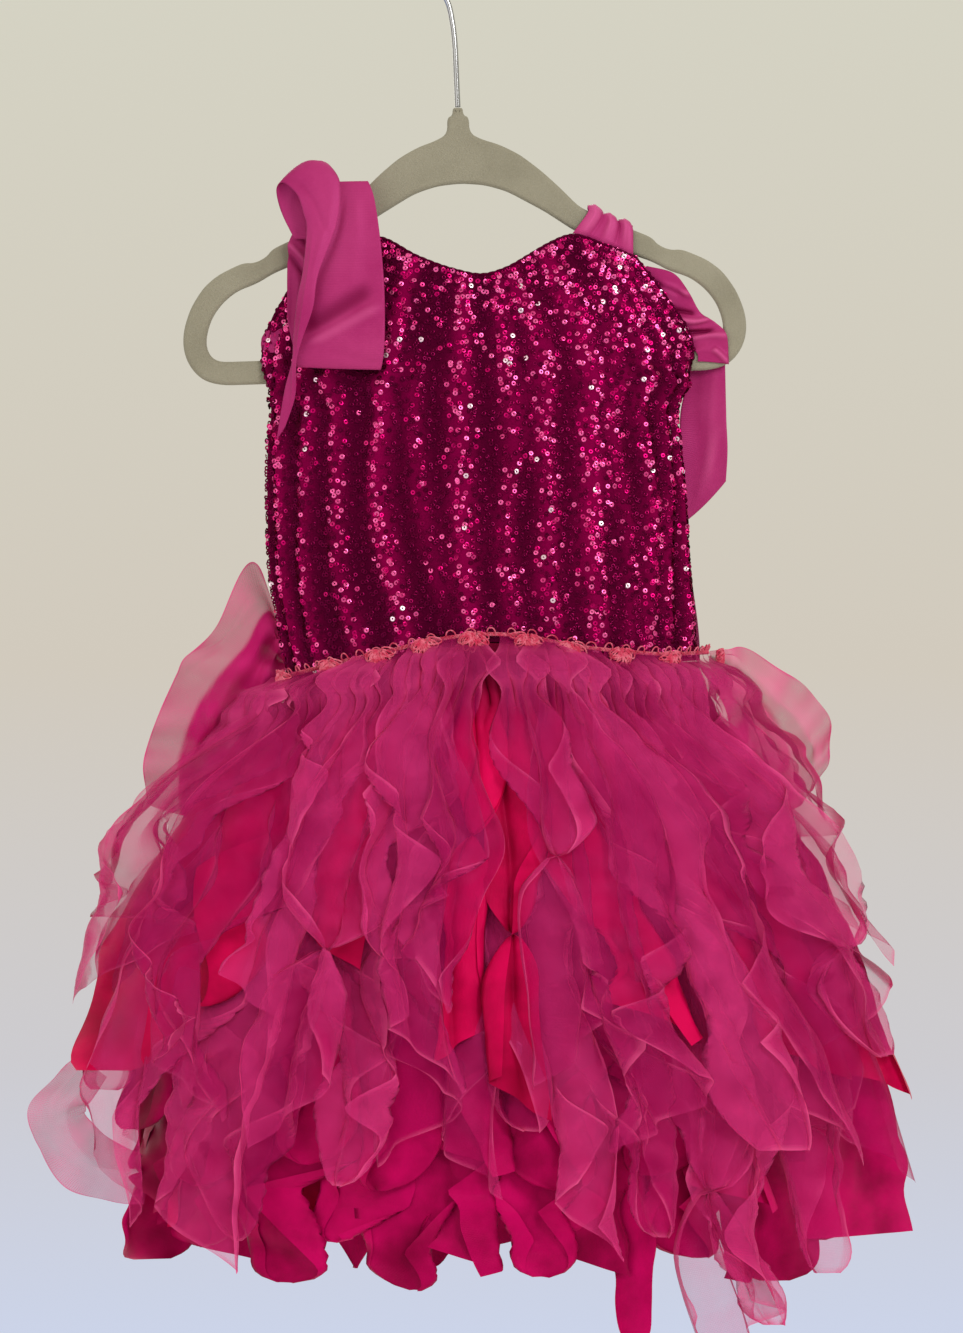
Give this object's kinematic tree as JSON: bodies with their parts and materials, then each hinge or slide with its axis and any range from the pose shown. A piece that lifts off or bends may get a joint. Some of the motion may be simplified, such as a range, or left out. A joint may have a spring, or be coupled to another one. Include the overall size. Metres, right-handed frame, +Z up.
{
  "type": "toddler party dress on a hanger",
  "caption": "Toddler party dress with a gathered sequin bodice, ribbon shoulders and a full skirt of satin and organza strips, hung on a flocked hanger with a wire hook.",
  "frame": {"origin": "top of the inside of the hanger's hook, where a rail or peg holds it", "axes": "+Z up, -Y out of the front of the dress, +X to the viewer's right when the front is seen"},
  "size_m": [0.4636, 0.1626, 0.7625],
  "materials": {
    "flock": "short grey-beige flock",
    "chrome": "polished wire",
    "sequins": "gathered mesh covered in ring sequins",
    "knit": "fine matt knit",
    "crochet": "coral crochet picot",
    "ribbon": "satin ribbon",
    "crimson_satin": "glossy satin",
    "satin": "glossy satin",
    "organza": "sheer crisp organza"
  },
  "bodies": {
    "root": {"hanger_body": "flock", "hanger_hook": "chrome", "bodice_front": "sequins", "bodice_back": "knit", "waist_trim_front": "crochet", "waist_trim_back": "crochet", "strap_left": "ribbon", "strap_right": "ribbon", "ribbon_loop_left": "ribbon", "ribbon_panel_left": "ribbon", "ribbon_knot_left": "ribbon", "binding_left": "ribbon", "ribbon_right": "ribbon", "ribbon_tail_right": "ribbon", "underskirt_front": "crimson_satin", "underskirt_back": "crimson_satin", "satin_strips_front": "crimson_satin", "satin_strips_back": "crimson_satin", "satin_petals_front": "satin", "satin_petals_back": "satin", "hem_petals_front": "satin", "hem_petals_back": "satin", "organza_upper_front": "organza", "organza_upper_back": "organza", "organza_lower_front": "organza", "organza_lower_back": "organza", "organza_loop_waist": "organza", "organza_ruffle_right": "organza", "organza_loop_hem": "organza"}
  },
  "joints": []
}
